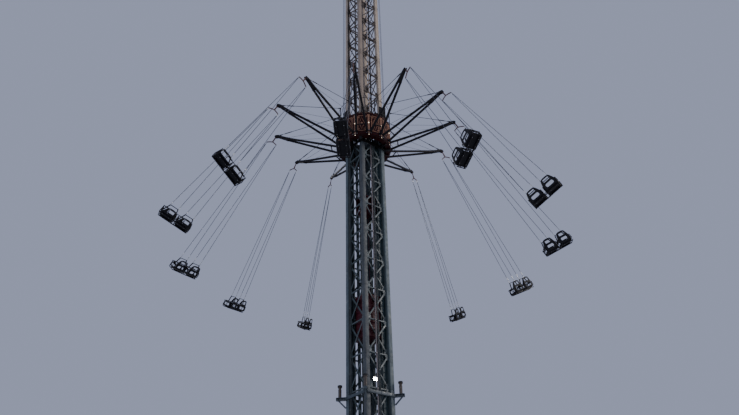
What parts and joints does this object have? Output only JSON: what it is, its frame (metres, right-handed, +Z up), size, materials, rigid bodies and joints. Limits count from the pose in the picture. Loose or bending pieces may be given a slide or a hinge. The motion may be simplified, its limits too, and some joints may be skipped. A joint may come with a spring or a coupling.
{
  "type": "tower chair swing ride",
  "caption": "Lattice tower with a climbing carriage, a turning drum on radial arms, and double seats hung on ropes that fly outwards.",
  "frame": {"origin": "middle of the base frame's underside, at ground level under the tower's axis", "axes": "+Z up the tower; the lattice faces look along +X, -X, +Y and -Y; the picture looks from (-14.5, -19.4, 1.6) m towards the tower"},
  "size_m": [18.051, 18.051, 39.8399],
  "materials": {
    "tower_paint": "satin slate blue-grey paint, cream above the carriage",
    "brace_paint": "satin pale grey-green paint",
    "rail_paint": "satin warm grey paint",
    "base_paint": "satin slate paint, scuffed",
    "head_paint": "satin cream paint",
    "rope_steel": "greased galvanised wire rope",
    "weight_paint": "crimson paint",
    "buffer_paint": "dark brown paint over slate",
    "lamp_glass": "warm lit glass",
    "carriage_paint": "dark satin paint",
    "drum_paint": "maroon gloss paint with beige ornament",
    "arm_paint": "dark navy satin paint",
    "seat_shell": "moulded black shell"
  },
  "bodies": {
    "tower": {"leg_front_left": "tower_paint", "leg_front_right": "tower_paint", "leg_back_right": "tower_paint", "leg_back_left": "tower_paint", "lattice_front": "brace_paint", "face_rail_front": "rail_paint", "lattice_right": "brace_paint", "face_rail_right": "rail_paint", "lattice_back": "brace_paint", "face_rail_back": "rail_paint", "lattice_left": "brace_paint", "face_rail_left": "rail_paint", "base_frame": "base_paint", "head_frame": "head_paint", "buffer_frame": "buffer_paint", "floodlight": "lamp_glass"},
    "counterweight": {"counterweight": "weight_paint", "rope_hitch": "weight_paint", "counterweight_rope": "rope_steel"},
    "carriage": {"carriage_frame": "carriage_paint", "hoist_ropes": "rope_steel"},
    "rotor": {"drum": "drum_paint", "stay_ring": "arm_paint", "arm_01": "arm_paint", "arm_02": "arm_paint", "arm_03": "arm_paint", "arm_04": "arm_paint", "arm_05": "arm_paint", "arm_06": "arm_paint", "arm_07": "arm_paint", "arm_08": "arm_paint", "arm_09": "arm_paint", "arm_10": "arm_paint", "arm_11": "arm_paint", "arm_12": "arm_paint"},
    "swing_01": {"suspension_01": "rope_steel", "seat_01": "seat_shell"},
    "swing_02": {"suspension_02": "rope_steel", "seat_02": "seat_shell"},
    "swing_03": {"suspension_03": "rope_steel", "seat_03": "seat_shell"},
    "swing_04": {"suspension_04": "rope_steel", "seat_04": "seat_shell"},
    "swing_05": {"suspension_05": "rope_steel", "seat_05": "seat_shell"},
    "swing_06": {"suspension_06": "rope_steel", "seat_06": "seat_shell"},
    "swing_07": {"suspension_07": "rope_steel", "seat_07": "seat_shell"},
    "swing_08": {"suspension_08": "rope_steel", "seat_08": "seat_shell"},
    "swing_09": {"suspension_09": "rope_steel", "seat_09": "seat_shell"},
    "swing_10": {"suspension_10": "rope_steel", "seat_10": "seat_shell"},
    "swing_11": {"suspension_11": "rope_steel", "seat_11": "seat_shell"},
    "swing_12": {"suspension_12": "rope_steel", "seat_12": "seat_shell"}
  },
  "joints": [
    {"name": "lift", "type": "slide", "parent": "tower", "child": "carriage", "axis": [0, 0, 1], "range_m": [-11.73, 10.4], "deforming": ["hoist_ropes"]},
    {"name": "counterweight_travel", "type": "slide", "parent": "tower", "child": "counterweight", "axis": [0, 0, 1], "range_m": [-10.4, 11.73], "deforming": ["counterweight_rope"]},
    {"name": "rotor_turn", "type": "hinge", "parent": "carriage", "child": "rotor", "pos_m": [0, 0, 22], "axis": [0, 0, 1], "continuous": true},
    {"name": "swing_out_01", "type": "hinge", "parent": "rotor", "child": "swing_01", "pos_m": [4.4199, 1.44464, 22.6], "axis": [0.3107, -0.9505, 0], "range_deg": [-27, 18]},
    {"name": "swing_out_02", "type": "hinge", "parent": "rotor", "child": "swing_02", "pos_m": [3.10542, 3.46105, 22.6], "axis": [0.7443, -0.6678, 0], "range_deg": [-27, 18]},
    {"name": "swing_out_03", "type": "hinge", "parent": "rotor", "child": "swing_03", "pos_m": [0.95885, 4.55007, 22.6], "axis": [0.9785, -0.2062, 0], "range_deg": [-27, 18]},
    {"name": "swing_out_04", "type": "hinge", "parent": "rotor", "child": "swing_04", "pos_m": [-1.44464, 4.4199, 22.6], "axis": [0.9505, 0.3107, 0], "range_deg": [-27, 18]},
    {"name": "swing_out_05", "type": "hinge", "parent": "rotor", "child": "swing_05", "pos_m": [-3.46105, 3.10542, 22.6], "axis": [0.6678, 0.7443, 0], "range_deg": [-27, 18]},
    {"name": "swing_out_06", "type": "hinge", "parent": "rotor", "child": "swing_06", "pos_m": [-4.55007, 0.95885, 22.6], "axis": [0.2062, 0.9785, 0], "range_deg": [-27, 18]},
    {"name": "swing_out_07", "type": "hinge", "parent": "rotor", "child": "swing_07", "pos_m": [-4.4199, -1.44464, 22.6], "axis": [-0.3107, 0.9505, 0], "range_deg": [-27, 18]},
    {"name": "swing_out_08", "type": "hinge", "parent": "rotor", "child": "swing_08", "pos_m": [-3.10542, -3.46105, 22.6], "axis": [-0.7443, 0.6678, 0], "range_deg": [-27, 18]},
    {"name": "swing_out_09", "type": "hinge", "parent": "rotor", "child": "swing_09", "pos_m": [-0.95885, -4.55007, 22.6], "axis": [-0.9785, 0.2062, 0], "range_deg": [-27, 18]},
    {"name": "swing_out_10", "type": "hinge", "parent": "rotor", "child": "swing_10", "pos_m": [1.44464, -4.4199, 22.6], "axis": [-0.9505, -0.3107, 0], "range_deg": [-27, 18]},
    {"name": "swing_out_11", "type": "hinge", "parent": "rotor", "child": "swing_11", "pos_m": [3.46105, -3.10542, 22.6], "axis": [-0.6678, -0.7443, 0], "range_deg": [-27, 18]},
    {"name": "swing_out_12", "type": "hinge", "parent": "rotor", "child": "swing_12", "pos_m": [4.55007, -0.95885, 22.6], "axis": [-0.2062, -0.9785, 0], "range_deg": [-27, 18]}
  ],
  "couplings": [
    {"joint": "counterweight_travel", "follows": "lift", "ratio": -1}
  ]
}
